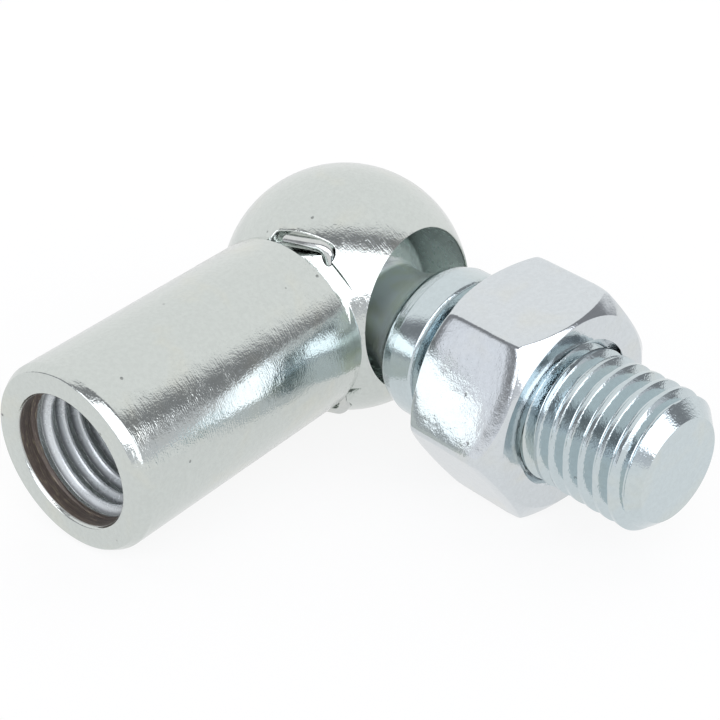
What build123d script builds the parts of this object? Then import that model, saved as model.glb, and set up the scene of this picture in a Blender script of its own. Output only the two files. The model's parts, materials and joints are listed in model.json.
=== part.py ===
from build123d import *
import math
import os

# Angle ball joint, 19 mm ball size, M16 threads on the rod side and on the stud.
# Origin: mouth of the tapped hole, on the shank's end face.
# +X runs up the shank towards the ball, -Y is the side the stud leaves from, +Z is up.
# Millimetres.

os.makedirs("parts", exist_ok=True)

# ---- M16 thread: cut in full on the stem, a plain minor-diameter bore in the socket ----
THREAD_MAJOR_R = 8.0
THREAD_MINOR_R = 6.92
THREAD_PITCH = 2.0
THREAD_FLANK_DEG = 30.0
THREAD_CREST_FLAT = THREAD_PITCH / 8
THREAD_ROOT_R = THREAD_MAJOR_R - 0.61343 * THREAD_PITCH

# ---- ball socket: round shank, neck and hollow ball head, one turned piece ----
BALL_CENTRE_X = 45.0
HEAD_R = 14.75
SHANK_R = 11.0
SHANK_LENGTH = 33.7
SHANK_END_CHAMFER_AXIAL = 1.05
SHANK_END_CHAMFER_RADIAL = 0.38
NECK_STEP = 0.25
COUNTERSINK_R = 7.75
COUNTERSINK_DEG = 120.0
TAP_DEPTH = 26.0
DRILL_POINT_DEG = 118.0
BORE_LIP_CHAMFER = 0.2

# ---- the ball and its running clearance in the socket ----
BALL_R = 9.5
BALL_CLEARANCE = 0.05
BORE_R = BALL_R + BALL_CLEARANCE

# ---- retaining clip: bent spring wire that crosses the bore in front of the ball ----
WIRE_R = 0.7
WIRE_TO_BALL = 0.65
CLIP_LEG_DEG = 34.9
CLIP_RISE = 0.36
CLIP_BEND_R = 1.2
CLIP_TAIL_LENGTH = 4.2
CLIP_TAIL_TURN_DEG = 10.0

LEG_REACH = BALL_R + WIRE_TO_BALL + WIRE_R
CLIP_LEG_X = BALL_CENTRE_X - LEG_REACH * math.cos(math.radians(CLIP_LEG_DEG))
CLIP_LEG_Y = -LEG_REACH * math.sin(math.radians(CLIP_LEG_DEG))
CLIP_TAIL_Z = math.sqrt(HEAD_R**2 - LEG_REACH**2) + CLIP_RISE

# ---- cross hole and pockets for the clip ----
CLIP_HOLE_CLEARANCE = 0.1
POCKET_CLEARANCE = 0.15
POCKET_SPARE = 2.2

# ---- two milled reliefs beside the clip's ends ----
RELIEF_WIDTH = 1.6
RELIEF_FLOOR_R = 8.3
UPPER_RELIEF_DEG = 54.0
LOWER_RELIEF_DEG = -74.0

# ---- ball stud: ball, neck, collar and threaded stem, one turned piece ----
STUD_NECK_R = 5.8
FLARE_R = 9.5
COLLAR_R = 9.2
COLLAR_LENGTH = 3.35
COLLAR_REAR_EDGE = 0.15
COLLAR_FRONT_CHAMFER = 0.35
SEAT_AT = 20.0
STEM_LENGTH = 30.0
TIP_CHAMFER_AXIAL = 0.9
TIP_CHAMFER_RADIAL = 1.95
UNDERCUT_R = 6.5
UNDERCUT_LENGTH = 1.7
THREAD_START = 1.37

# ---- hex nut ----
NUT_ACROSS_FLATS = 24.0
NUT_HEIGHT = 13.0
NUT_TO_SEAT = 2.85
NUT_TURN_DEG = 3.75
NUT_FACE_INSET = 0.6
NUT_CHAMFER_DEG = 30.0
NUT_CORNER_ROUNDING = 0.256
NUT_COUNTERSINK = 0.7
THREAD_CLEARANCE = 0.05

# ---- how far the stud leans in its socket ----
LEAN_TO_SHANK_DEG = 6.87
DIP_DEG = 6.75


def turned(points):
    """Revolve a half outline, given as (radius, height) points, about the local Z axis."""
    with BuildPart() as piece:
        with BuildSketch(Plane.XZ):
            with BuildLine():
                Polyline(*points, close=True)
            make_face()
        revolve(axis=Axis.Z)
    return piece.part


def socket():
    # The shank and neck are turned about X and the head is a sphere on the same axis.
    neck_r = SHANK_R - NECK_STEP
    outline = [
        (0, 0),
        (SHANK_R - SHANK_END_CHAMFER_RADIAL, 0),
        (SHANK_R, SHANK_END_CHAMFER_AXIAL),
        (SHANK_R, SHANK_LENGTH),
        (neck_r, SHANK_LENGTH),
        (neck_r, BALL_CENTRE_X),
        (0, BALL_CENTRE_X),
    ]
    shank = Rot(0, 90, 0) * turned(outline)
    body = shank + Pos(BALL_CENTRE_X, 0, 0) * Sphere(HEAD_R)

    # Tapped hole for the rod: countersink, thread bore and drill point.
    sink_depth = (COUNTERSINK_R - THREAD_MINOR_R) / math.tan(math.radians(COUNTERSINK_DEG / 2))
    drill_point = THREAD_MINOR_R / math.tan(math.radians(DRILL_POINT_DEG / 2))
    hole = [
        (0, -1),
        (COUNTERSINK_R, -1),
        (COUNTERSINK_R, 0),
        (THREAD_MINOR_R, sink_depth),
        (THREAD_MINOR_R, TAP_DEPTH),
        (0, TAP_DEPTH + drill_point),
    ]
    body -= Rot(0, 90, 0) * turned(hole)

    # Ball seat: a straight bore from the stud side that ends in a half sphere.
    lip_at = math.sqrt(HEAD_R**2 - (BORE_R + BORE_LIP_CHAMFER) ** 2)
    seat = [
        (0, 0),
        (BORE_R, 0),
        (BORE_R, lip_at - BORE_LIP_CHAMFER),
        (BORE_R + 2 * BORE_LIP_CHAMFER, lip_at + BORE_LIP_CHAMFER),
        (BORE_R + 2 * BORE_LIP_CHAMFER, HEAD_R + 1),
        (0, HEAD_R + 1),
    ]
    body -= Pos(BALL_CENTRE_X, 0, 0) * Rot(90, 0, 0) * turned(seat)
    body -= Pos(BALL_CENTRE_X, 0, 0) * Sphere(BORE_R)

    # Cross hole for the clip's straight leg.
    leg_hole = Cylinder(WIRE_R + CLIP_HOLE_CLEARANCE, 2 * HEAD_R)
    body -= Pos(CLIP_LEG_X, CLIP_LEG_Y, 0) * leg_hole

    # Pockets that take the clip's bent tails, above and below: slots with round ends.
    half_width = WIRE_R + POCKET_CLEARANCE
    run = CLIP_BEND_R + CLIP_TAIL_LENGTH + POCKET_SPARE
    floor = CLIP_TAIL_Z - half_width
    height = HEAD_R - floor
    pocket = Pos(0, run / 2, 0) * Box(2 * half_width, run, height)
    pocket += Cylinder(half_width, height)
    pocket += Pos(0, run, 0) * Cylinder(half_width, height)
    middle = Pos(CLIP_LEG_X, CLIP_LEG_Y, floor + height / 2)
    upper = middle * Rot(0, 0, CLIP_TAIL_TURN_DEG) * pocket
    body -= upper
    body -= mirror(upper, about=Plane.XY)

    # Flat-floored reliefs milled into the neck next to the clip's ends.
    depth = HEAD_R - RELIEF_FLOOR_R
    cutter = Box(RELIEF_WIDTH, depth, 2 * HEAD_R)
    cutter = Pos(SHANK_LENGTH + RELIEF_WIDTH / 2, -(RELIEF_FLOOR_R + depth / 2), 0) * cutter
    for angle in (UPPER_RELIEF_DEG, LOWER_RELIEF_DEG):
        body -= Rot(-angle, 0, 0) * cutter
    return body


def clip():
    # Straight leg across the bore, both ends bent over towards the closed side of the head.
    turn = math.radians(CLIP_TAIL_TURN_DEG)
    along = (-math.sin(turn), math.cos(turn))
    corner = CLIP_TAIL_Z

    def tail(sign):
        start = (CLIP_LEG_X, CLIP_LEG_Y, sign * (corner - CLIP_BEND_R))
        bend_end = (
            CLIP_LEG_X + CLIP_BEND_R * along[0],
            CLIP_LEG_Y + CLIP_BEND_R * along[1],
            sign * corner,
        )
        run = CLIP_BEND_R + CLIP_TAIL_LENGTH
        end = (CLIP_LEG_X + run * along[0], CLIP_LEG_Y + run * along[1], sign * corner)
        return start, bend_end, end

    top_start, top_bend, top_end = tail(1)
    low_start, low_bend, low_end = tail(-1)
    with BuildPart() as wire:
        with BuildLine() as path:
            Line(low_end, low_bend)
            TangentArc(low_bend, low_start, tangent=(-along[0], -along[1], 0))
            Line(low_start, top_start)
            TangentArc(top_start, top_bend, tangent=(0, 0, 1))
            Line(top_bend, top_end)
        with BuildSketch(Plane(origin=low_end, z_dir=(-along[0], -along[1], 0))):
            Circle(WIRE_R)
        sweep(path=path.line)
    return wire.part


def thread_groove(height):
    """One turn of the thread's V groove, as a solid that starts at this height on local Z."""
    outer_r = THREAD_MAJOR_R + THREAD_PITCH / 25
    slope = math.tan(math.radians(THREAD_FLANK_DEG))
    half_major = (THREAD_PITCH - THREAD_CREST_FLAT) / 2
    half_root = half_major - (THREAD_MAJOR_R - THREAD_ROOT_R) * slope
    half_outer = half_major + (outer_r - THREAD_MAJOR_R) * slope
    corners = [
        (THREAD_ROOT_R, -half_root),
        (THREAD_ROOT_R, half_root),
        (outer_r, half_outer),
        (outer_r, -half_outer),
    ]
    edges = []
    for radius, rise in corners:
        turn = Helix(THREAD_PITCH, THREAD_PITCH, radius, center=(0, 0, height + rise))
        edges.append(turn.edge())
    faces = []
    for n in range(4):
        faces.append(Face.make_surface_from_curves(edges[n], edges[(n + 1) % 4]))
    for end in (0, 1):
        rim = Wire.make_polygon([edge @ end for edge in edges], close=True)
        faces.append(Face(rim))
    return Solid(Shell(faces))


def stud():
    # Turned about local Z from the ball's centre; heights below are distances along the stud.
    collar_start = SEAT_AT - COLLAR_LENGTH
    tip_at = SEAT_AT + STEM_LENGTH
    stem_front = tip_at - TIP_CHAMFER_AXIAL
    undercut_exit = SEAT_AT + UNDERCUT_LENGTH + THREAD_MAJOR_R - UNDERCUT_R

    # The neck sweeps out to the collar's rear edge on an arc tangent to the neck.
    flare_top = COLLAR_R - COLLAR_REAR_EDGE
    flare_end = collar_start - COLLAR_REAR_EDGE
    rise = math.acos(1 - (flare_top - STUD_NECK_R) / FLARE_R)
    flare_start = flare_end - FLARE_R * math.sin(rise)
    flare_mid = (
        STUD_NECK_R + FLARE_R * (1 - math.cos(rise / 2)),
        flare_start + FLARE_R * math.sin(rise / 2),
    )
    with BuildPart() as piece:
        with BuildSketch(Plane.XZ):
            with BuildLine():
                Polyline((0, 0), (STUD_NECK_R, 0), (STUD_NECK_R, flare_start))
                ThreePointArc((STUD_NECK_R, flare_start), flare_mid, (flare_top, flare_end))
                Polyline(
                    (flare_top, flare_end),
                    (COLLAR_R, collar_start),
                    (COLLAR_R, SEAT_AT - COLLAR_FRONT_CHAMFER),
                    (COLLAR_R - COLLAR_FRONT_CHAMFER, SEAT_AT),
                    (UNDERCUT_R, SEAT_AT),
                    (UNDERCUT_R, SEAT_AT + UNDERCUT_LENGTH),
                    (THREAD_MAJOR_R, undercut_exit),
                    (THREAD_MAJOR_R, stem_front),
                    (THREAD_MAJOR_R - TIP_CHAMFER_RADIAL, tip_at),
                    (0, tip_at),
                    (0, 0),
                )
            make_face()
        revolve(axis=Axis.Z)
    body = piece.part + Sphere(BALL_R)

    # The thread runs from the undercut out through the chamfered tip, one turn at a time.
    first = SEAT_AT + THREAD_START
    turns = math.ceil((tip_at + THREAD_PITCH - first) / THREAD_PITCH)
    body -= [thread_groove(first + THREAD_PITCH * n) for n in range(turns)]
    return lean(body)


def nut():
    half = NUT_HEIGHT / 2
    face_r = NUT_ACROSS_FLATS / 2 - NUT_FACE_INSET
    corner_r = NUT_ACROSS_FLATS / math.sqrt(3) - NUT_CORNER_ROUNDING
    drop = (corner_r - face_r) * math.tan(math.radians(NUT_CHAMFER_DEG))
    hole_r = THREAD_MAJOR_R + THREAD_CLEARANCE
    mouth_r = THREAD_MAJOR_R + NUT_COUNTERSINK
    # The hexagon's corners are rounded by the blank, and both faces are chamfered by turning.
    with BuildPart() as piece:
        with BuildSketch():
            RegularPolygon(NUT_ACROSS_FLATS / 2, 6, major_radius=False)
        extrude(amount=half, both=True)
    envelope = [
        (0, -half),
        (face_r, -half),
        (corner_r, -half + drop),
        (corner_r, half - drop),
        (face_r, half),
        (0, half),
    ]
    hole = [
        (0, -half),
        (mouth_r, -half),
        (hole_r, -half + mouth_r - hole_r),
        (hole_r, half - mouth_r + hole_r),
        (mouth_r, half),
        (0, half),
    ]
    body = (piece.part & turned(envelope)) - turned(hole)
    placed = Pos(0, 0, SEAT_AT + NUT_TO_SEAT + half) * Rot(0, 0, NUT_TURN_DEG) * body
    return lean(placed)


def lean(shape):
    """Turn a piece drawn up local Z so that it leaves the socket along -Y, then lean it."""
    swing = Rot(0, 0, -LEAN_TO_SHANK_DEG) * Rot(DIP_DEG, 0, 0)
    return Pos(BALL_CENTRE_X, 0, 0) * swing * Rot(90, 0, 0) * shape


pieces = {
    "ball_socket": socket(),
    "retaining_clip": clip(),
    "ball_stud": stud(),
    "hex_nut": nut(),
}
for name, shape in pieces.items():
    export_step(shape, "parts/" + name + ".step")
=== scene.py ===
"""Angle ball joint: zinc-plated socket, retaining clip, ball stud and hex nut on a plain studio floor."""

import json
import math
from functools import partialmethod
from types import SimpleNamespace

import bmesh
import bpy
import numpy as np
from bpy.props import FloatProperty, FloatVectorProperty, PointerProperty
from mathutils import Matrix, Vector
from mathutils.bvhtree import BVHTree


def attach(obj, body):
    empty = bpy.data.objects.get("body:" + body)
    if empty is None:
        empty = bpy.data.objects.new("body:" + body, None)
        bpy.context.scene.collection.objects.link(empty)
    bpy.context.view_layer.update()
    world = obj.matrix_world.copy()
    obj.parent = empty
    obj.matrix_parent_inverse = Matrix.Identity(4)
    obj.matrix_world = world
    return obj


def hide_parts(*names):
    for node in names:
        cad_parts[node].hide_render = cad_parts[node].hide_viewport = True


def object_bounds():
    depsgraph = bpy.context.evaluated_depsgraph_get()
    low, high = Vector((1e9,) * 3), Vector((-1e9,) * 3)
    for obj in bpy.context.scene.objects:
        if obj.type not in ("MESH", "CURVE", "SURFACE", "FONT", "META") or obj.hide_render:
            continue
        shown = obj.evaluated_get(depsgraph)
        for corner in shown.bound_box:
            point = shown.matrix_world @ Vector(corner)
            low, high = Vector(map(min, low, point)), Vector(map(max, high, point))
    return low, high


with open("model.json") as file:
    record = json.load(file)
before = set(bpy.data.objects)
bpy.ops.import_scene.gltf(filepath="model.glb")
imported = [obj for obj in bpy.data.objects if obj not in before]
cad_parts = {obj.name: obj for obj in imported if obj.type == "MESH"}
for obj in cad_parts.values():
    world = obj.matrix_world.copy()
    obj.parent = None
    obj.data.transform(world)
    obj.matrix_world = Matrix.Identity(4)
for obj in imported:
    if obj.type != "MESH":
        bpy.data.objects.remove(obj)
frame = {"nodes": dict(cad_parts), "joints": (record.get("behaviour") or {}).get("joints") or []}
CAD_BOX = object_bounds()

bl_info = {
    "name": "Angle ball joint",
    "version": (1, 0, 0),
    "blender": (4, 5, 0),
    "location": "View3D > Sidebar > Ball Joint",
    "description": "Builds a zinc-plated angle ball joint around its packed CAD frame",
    "category": "Object",
}

# ---- where things are, read from the frame ----
MM = 0.001
JOINTS = {joint["name"]: joint for joint in frame["joints"]}
BALL_CENTRE = Vector(JOINTS["stud_swivel"]["pos_m"]) / MM
STUD_AXIS = Vector(JOINTS["nut_travel"]["axis"]).normalized()
SHANK_AXIS = Vector((1, 0, 0))

SIDES = 160  # steps round a turned piece
SHARP = 32.0  # degrees between faces from which their edge stays sharp
NUT_SHARP = 28.0  # the same for the nut, whose chamfers meet its faces at 30
TINY = 1e-6  # radii, in mm or as shares, and distances, in metres, that count as none
FLANK = math.tan(math.radians(30))  # slope of the flanks of a 60 degree thread


def along_shank():
    """Local +Z becomes part +X, from the tapped hole's mouth towards the ball."""
    return Matrix.Rotation(math.radians(90), 4, "Y")


def along_stud():
    """Local +Z becomes the stud's axis, with its zero at the ball's centre."""
    side = Vector((-STUD_AXIS.y, STUD_AXIS.x, 0)).normalized()
    up = STUD_AXIS.cross(side)
    turn = Matrix((side, up, STUD_AXIS)).transposed().to_4x4()
    return Matrix.Translation(BALL_CENTRE * MM) @ turn


# ---------------------------------------------------------------- sizes and colours


def number(name, description, default, **kind):
    """A plain number among a group's settings."""
    return FloatProperty(name=name, description=description, default=default, **kind)


def millimetres(name, description, default):
    """A length, given in millimetres and kept in metres as Blender's lengths are."""
    return number(name, description, default * MM, unit="LENGTH", subtype="DISTANCE", precision=5)


def degrees(name, description, default):
    """An angle, given in degrees and kept in radians."""
    return number(name, description, math.radians(default), unit="ROTATION", subtype="ANGLE")


def colour(name, description, default):
    return FloatVectorProperty(
        name=name, description=description, default=default, size=3, min=0.0, max=1.0, subtype="COLOR"
    )


class SocketSizes(bpy.types.PropertyGroup):
    shank_radius: millimetres("Shank radius", "Radius of the round shank", 11.0)
    shank_length: millimetres("Shank length", "From the end face to the neck's step", 33.7)
    end_chamfer: millimetres("End chamfer", "Length of the chamfer at the shank's end", 1.05)
    end_chamfer_depth: millimetres("End chamfer depth", "Depth of the chamfer at the shank's end", 0.6)
    neck_radius: millimetres("Neck radius", "Radius of the neck between shank and head", 10.75)
    head_radius: millimetres("Head radius", "Radius of the ball-shaped head", 14.75)
    head_fillet: millimetres("Head fillet", "Fillet where the neck runs into the head", 0.35)
    bore_radius: millimetres("Seat radius", "Radius of the bore and the hollow that take the ball", 9.55)
    bore_lip: millimetres("Seat lip", "Rounded edge at the mouth of the bore", 0.3)
    lip_radius: millimetres("Mouth radius", "Radius of the plain ring in front of the thread", 7.75)
    ring_depth: millimetres("Plain ring depth", "Depth of the plain ring in front of the thread", 2.1)
    thread_depth: millimetres("Thread depth", "Depth of the last full thread", 23.5)
    tap_depth: millimetres("Tap depth", "Depth of the drilled hole's straight part", 26.0)
    upper_floor: millimetres("Upper relief floor", "Distance of the upper relief's floor from the shank's axis", 9.3)
    upper_rise: millimetres("Upper relief rise", "How much the upper relief's floor climbs towards the head", 1.8)
    lower_floor: millimetres("Lower relief floor", "Distance of the lower relief's floor from the shank's axis", 8.5)
    lower_rise: millimetres("Lower relief rise", "How much the lower relief's floor climbs towards the head", 1.0)
    relief_width: millimetres("Relief width", "Width of the two milled reliefs", 1.75)
    upper_relief: degrees("Upper relief angle", "Angle of the upper relief round the shank", 46.0)
    lower_relief: degrees("Lower relief angle", "Angle of the lower relief round the shank", -68.0)


class ClipSizes(bpy.types.PropertyGroup):
    wire_radius: millimetres("Wire radius", "Radius of the clip's spring wire", 0.7)
    leg_reach: millimetres("Leg reach", "Distance of the straight leg from the ball's centre", 10.85)
    leg_angle: degrees("Leg angle", "Angle of the straight leg from the shank's axis", 34.9)
    tail_rise: millimetres("Tail height", "Height of the bent tails above the middle plane", 10.6)
    bend_radius: millimetres("Bend radius", "Radius of the wire's bends", 1.2)
    tail_length: millimetres("Tail length", "Straight length of each tail", 4.2)
    tail_turn: degrees("Tail turn", "Angle of the tails from square to the shank", 10.0)
    pocket_gap: millimetres("Pocket gap", "Clearance beside the wire in its pocket", 0.15)
    pocket_spare: millimetres("Pocket spare", "Length of pocket left past the wire's end", 1.2)


class StudSizes(bpy.types.PropertyGroup):
    ball_radius: millimetres("Ball radius", "Radius of the ball", 9.5)
    neck_radius: millimetres("Neck radius", "Radius of the neck behind the ball", 5.8)
    neck_fillet: millimetres("Neck fillet", "Fillet where the neck runs into the ball", 0.5)
    flare_radius: millimetres("Flare radius", "Radius of the sweep from the neck to the collar", 9.5)
    shoulder_radius: millimetres("Shoulder radius", "Rounding between the sweep and the collar's rear cone", 1.8)
    shoulder_length: millimetres("Shoulder length", "Length of the slight cone behind the collar", 0.9)
    collar_radius: millimetres("Collar radius", "Radius of the collar", 9.2)
    collar_length: millimetres("Collar length", "Length of the collar", 3.35)
    seat_at: millimetres("Seat", "Distance of the collar's front face from the ball's centre", 20.0)
    stem_length: millimetres("Stem length", "Length of the threaded stem", 30.0)
    undercut_radius: millimetres("Undercut radius", "Radius of the undercut at the collar", 6.5)
    undercut_length: millimetres("Undercut length", "Straight length of the undercut", 1.7)
    tip_radius: millimetres("Tip radius", "Radius of the stem's flat end", 6.05)
    tip_chamfer: millimetres("Tip chamfer", "Length of the chamfer at the stem's end", 1.9)


class ThreadSizes(bpy.types.PropertyGroup):
    pitch: millimetres("Pitch", "Distance from crest to crest", 2.0)
    major_radius: millimetres("Major radius", "Radius over the crests of the stem's thread", 8.0)
    root_radius: millimetres("Root radius", "Radius at the roots of the stem's thread", 6.86)
    crest_flat: millimetres("Crest flat", "Width of the stem thread's flat crests", 0.44)
    minor_radius: millimetres("Minor radius", "Radius at the crests of the inner threads", 6.92)
    inner_root: millimetres("Inner root", "Radius at the roots of the socket's thread", 7.9)
    crest_at: millimetres("Crest height", "Height of one crest on the stem, from the ball's centre", 22.37)


class NutSizes(bpy.types.PropertyGroup):
    across_flats: millimetres("Across flats", "Width over two flats", 24.0)
    height: millimetres("Height", "Height of the nut", 13.0)
    to_seat: millimetres("Gap to collar", "Gap between the collar's face and the nut", 2.85)
    turn: degrees("Turn", "Turn of the nut on the stem", 3.75)
    face_radius: millimetres("Face radius", "Radius of the flat faces inside the corner chamfers", 11.4)
    chamfer: degrees("Corner chamfer", "Slope of the turned corner chamfers", 30.0)
    corner_round: millimetres("Corner rounding", "Radius of the six long edges", 1.0)
    corner_drop: number("Corner drop", "Extra slope of the chamfers at the corners", 0.07)
    edge_round: millimetres("Edge rounding", "Rounding between the flats and the corner chamfers", 0.4)
    mouth_radius: millimetres("Countersink radius", "Radius of the countersinks at the hole's mouths", 8.7)


class Finishes(bpy.types.PropertyGroup):
    socket_zinc: colour("Socket zinc", "Bright zinc plating on the socket", (0.635, 0.672, 0.65))
    stud_zinc: colour("Stud zinc", "Bright zinc plating on the stud", (0.60, 0.675, 0.70))
    nut_zinc: colour("Nut zinc", "Bright zinc plating on the nut", (0.685, 0.725, 0.75))
    clip_zinc: colour("Clip zinc", "Plating on the spring wire", (0.66, 0.68, 0.67))
    straw: colour("Straw tint", "Yellowish tint of the plating in thin places", (0.74, 0.71, 0.56))
    bare_steel: colour("Bare steel", "Unplated turned ring inside the mouth of the tapped hole", (0.06, 0.047, 0.04))
    bare_streaks: colour("Bare steel streaks", "Paler streaks round the unplated ring", (0.30, 0.255, 0.18))
    # Painted light and shade in the tapped hole: the crests are painted pale, the roots dark.
    inner_crests_painted_light: colour("Inner crests", "Crests of the socket's thread", (0.74, 0.78, 0.80))
    inner_roots_painted_shade: colour("Inner roots", "Roots of the socket's thread", (0.22, 0.235, 0.25))
    # Painted shade and reflection: the greenish grey inside the ball's seat.
    seat_zinc: colour("Seat zinc", "Thin plating in the ball's seat", (0.58, 0.67, 0.64))
    # Painted light: the neck's tone and its greenish patches stand in for the green-tinted light on the shaded neck.
    neck_zinc: colour("Neck zinc", "Dull plating on the stud's neck", (0.62, 0.70, 0.69))
    neck_painted_tint: colour("Neck stain", "Greenish patches on the stud's neck", (0.60, 0.67, 0.56))
    # Painted light: the ball's pale tone stands in for the bright reflections on it.
    ball_zinc: colour("Ball zinc", "Pale plating on the ball", (0.78, 0.82, 0.81))


class StageSettings(bpy.types.PropertyGroup):
    floor_size: number("Floor size", "Width of the floor", 4.0, unit="LENGTH")
    floor_glow: number("Floor glow", "Share of plain white in the floor's look", 0.86)
    floor_shine: number("Floor shine", "Brightness of the floor in gloss", 0.9)
    tent_light: number("Tent light", "Brightness of the light tent's wall", 0.97)
    window_light: number("Window light", "Brightness of the window behind the camera", 2.4)
    side_light: number("Side light", "Brightness of the card left of the camera", 0.97)
    low_light: number("Low light", "Brightness of the room near the horizon", 0.70)
    gap_light: number("Gap light", "Brightness of the tent's dark opening rim", 0.28)
    tent_turn: degrees("Tent turn", "Compass angle that the tent's closed end points to", 38.5)
    tent_rise: degrees("Tent rise", "Height angle that the tent's closed end points to", 32.0)
    lens: number("Lens", "Focal length", 92.29, unit="CAMERA")


GROUPS = {
    "joint_socket": SocketSizes,
    "joint_clip": ClipSizes,
    "joint_stud": StudSizes,
    "joint_thread": ThreadSizes,
    "joint_nut": NutSizes,
    "joint_finishes": Finishes,
    "joint_stage": StageSettings,
}

# The camera: its place in mm, and its right, up and ahead directions.
CAMERA_AT = Vector((-99.323, -132.962, 100.848))
CAMERA_RIGHT = Vector((0.63349, -0.76859, -0.08923))
CAMERA_UP = Vector((0.43100, 0.25474, 0.86565))
CAMERA_AHEAD = Vector((0.64259, 0.58684, -0.49264))
SENSOR_WIDTH = 36


def settings(context, group):
    """The values of one group: lengths in millimetres, angles in radians, the rest as they are."""
    values = getattr(context.scene, group)
    out = {}
    for key, item in values.bl_rna.properties.items():
        if key in ("rna_type", "name"):
            continue
        value = getattr(values, key)
        if item.subtype == "DISTANCE":
            value = value / MM
        out[key] = tuple(value) if item.type == "FLOAT" and item.is_array else value
    return SimpleNamespace(**out)


# ---------------------------------------------------------------- outlines and meshes


def arc(centre_r, centre_z, radius, start, end, step):
    """Points (r, z) on an arc, from start to end in degrees measured from +r towards +z.

    Neighbouring points are at most a step apart, in degrees.
    """
    count = max(2, int(math.ceil(abs(end - start) / step)) + 1)
    return [
        (centre_r + radius * math.cos(math.radians(a)), centre_z + radius * math.sin(math.radians(a)))
        for a in np.linspace(start, end, count)
    ]


def circle(radius, height, angles):
    """Points (x, y, z) round local Z at the given angles."""
    return [(radius * math.cos(a), radius * math.sin(a), height) for a in angles]


def round_steps(sides):
    """The angles of equal steps round a full turn."""
    return [2 * math.pi * k / sides for k in range(sides)]


def rounded(points, radii, count=4):
    """The polyline with its corners replaced by tangent arcs of count + 1 points."""
    most = 0.49  # share of a side that one rounding may take up
    out = []
    for i, point in enumerate(points):
        p = Vector(point)
        if radii[i] <= 0 or i in (0, len(points) - 1):
            out.append(tuple(p))
            continue
        back = Vector(points[i - 1]) - p
        ahead = Vector(points[i + 1]) - p
        half = back.angle(ahead) / 2
        reach = min(radii[i] / math.tan(half), most * back.length, most * ahead.length)
        radius = reach * math.tan(half)
        middle = p + (back.normalized() + ahead.normalized()).normalized() * (radius / math.sin(half))
        first = p + back.normalized() * reach - middle
        turn = math.pi - 2 * half
        sign = 1 if first.x * ahead.y - first.y * ahead.x > 0 else -1
        for t in np.linspace(0, 1, count + 1):
            c, s = math.cos(sign * turn * t), math.sin(sign * turn * t)
            out.append((middle.x + c * first.x - s * first.y, middle.y + s * first.x + c * first.y))
    return out


def skin(mesh, rings):
    """Faces between neighbouring rings of points in mm; a ring of one point is a pole."""
    rows = [[mesh.verts.new((x * MM, y * MM, z * MM)) for x, y, z in ring] for ring in rings]
    for low, high in zip(rows, rows[1:]):
        count = max(len(low), len(high))
        for k in range(count):
            n = (k + 1) % count
            if len(low) == 1:
                mesh.faces.new((low[0], high[n], high[k]))
            elif len(high) == 1:
                mesh.faces.new((low[k], low[n], high[0]))
            else:
                mesh.faces.new((low[k], low[n], high[n], high[k]))
    return rows


def spin(outline, sides=SIDES):
    """A mesh from an (r, z) outline in mm turned about local Z; points at r = 0 become poles."""
    mesh = bmesh.new()
    angles = round_steps(sides)
    skin(mesh, [circle(r, z, angles) if r >= TINY else [(0, 0, z)] for r, z in outline])
    return mesh


def shade(data, sharp=SHARP):
    """Smooth faces, with sharp edges where they meet at more than an angle in degrees."""
    data.shade_smooth()
    data.set_sharp_from_angle(angle=math.radians(sharp))


def to_object(name, mesh, place=None, sharp=SHARP):
    """Finish a bmesh as an object whose place is in its mesh."""
    bmesh.ops.remove_doubles(mesh, verts=mesh.verts, dist=TINY)
    bmesh.ops.recalc_face_normals(mesh, faces=mesh.faces)
    data = bpy.data.meshes.new(name)
    mesh.to_mesh(data)
    mesh.free()
    if place is not None:
        data.transform(place)
    shade(data, sharp)
    piece = bpy.data.objects.new(name, data)
    bpy.context.scene.collection.objects.link(piece)
    return piece


def plain_mesh(piece):
    """The evaluated object's mesh, on its own."""
    bpy.context.view_layer.update()
    graph = bpy.context.evaluated_depsgraph_get()
    return bpy.data.meshes.new_from_object(piece.evaluated_get(graph))


def cut(piece, cutters):
    """Subtract the cutters from the piece, and remove them."""
    for cutter in cutters:
        modifier = piece.modifiers.new("cut", "BOOLEAN")
        modifier.operation = "DIFFERENCE"
        modifier.solver = "EXACT"
        modifier.object = cutter
    data = plain_mesh(piece)
    piece.modifiers.clear()
    old, piece.data = piece.data, data
    bpy.data.meshes.remove(old)
    for cutter in cutters:
        bpy.data.objects.remove(cutter)


def join(target, other):
    """Put another bmesh's faces into the target."""
    data = bpy.data.meshes.new("join")
    other.to_mesh(data)
    other.free()
    target.from_mesh(data)
    bpy.data.meshes.remove(data)


def finish(piece, material, node, body):
    """Give a piece its material, the CAD node it stands for and its body."""
    piece.data.materials.clear()
    piece.data.materials.append(material)
    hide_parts(node)
    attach(piece, body)


# ---------------------------------------------------------------- node trees


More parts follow.
